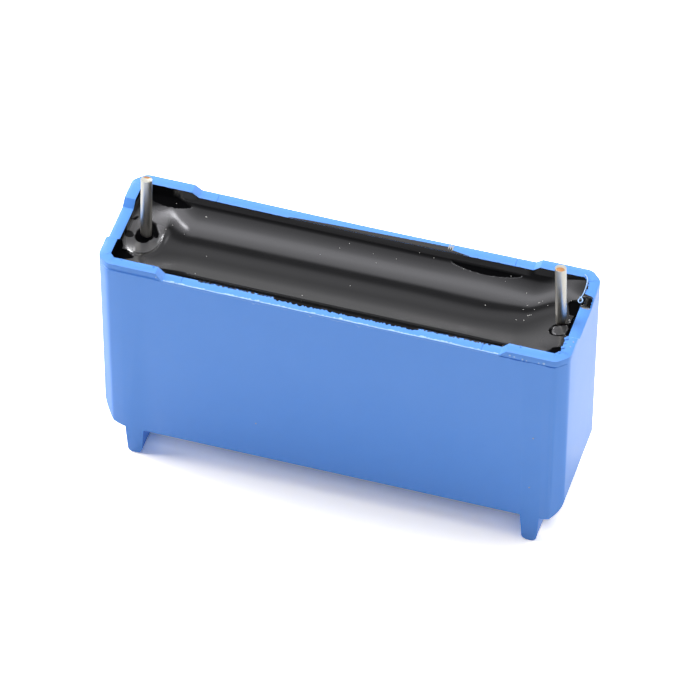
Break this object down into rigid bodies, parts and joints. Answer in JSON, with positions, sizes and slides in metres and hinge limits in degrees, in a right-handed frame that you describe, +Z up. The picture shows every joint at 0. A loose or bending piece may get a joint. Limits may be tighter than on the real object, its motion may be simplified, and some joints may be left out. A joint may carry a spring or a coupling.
{
  "type": "high voltage capacitor",
  "caption": "Box film capacitor: a moulded plastic case on feet, potted with black resin, with wire leads and raised standoffs on its open side for a circuit board.",
  "frame": {"origin": "on the surface that the feet stand on, under the middle of the case", "axes": "+X along the case, from the left lead to the right lead; +Y from the front face to the back; +Z up"},
  "size_m": [0.042, 0.0116, 0.0282],
  "materials": {
    "case": "moulded matte blue",
    "potting": "cast black resin",
    "winding": "metallised film",
    "end_contact": "sprayed zinc",
    "lead": "tinned copper wire"
  },
  "bodies": {
    "root": {"case": "case", "potting": "potting", "winding": "winding", "end_contact_left": "end_contact", "end_contact_right": "end_contact", "lead_left": "lead", "lead_right": "lead"}
  },
  "joints": []
}
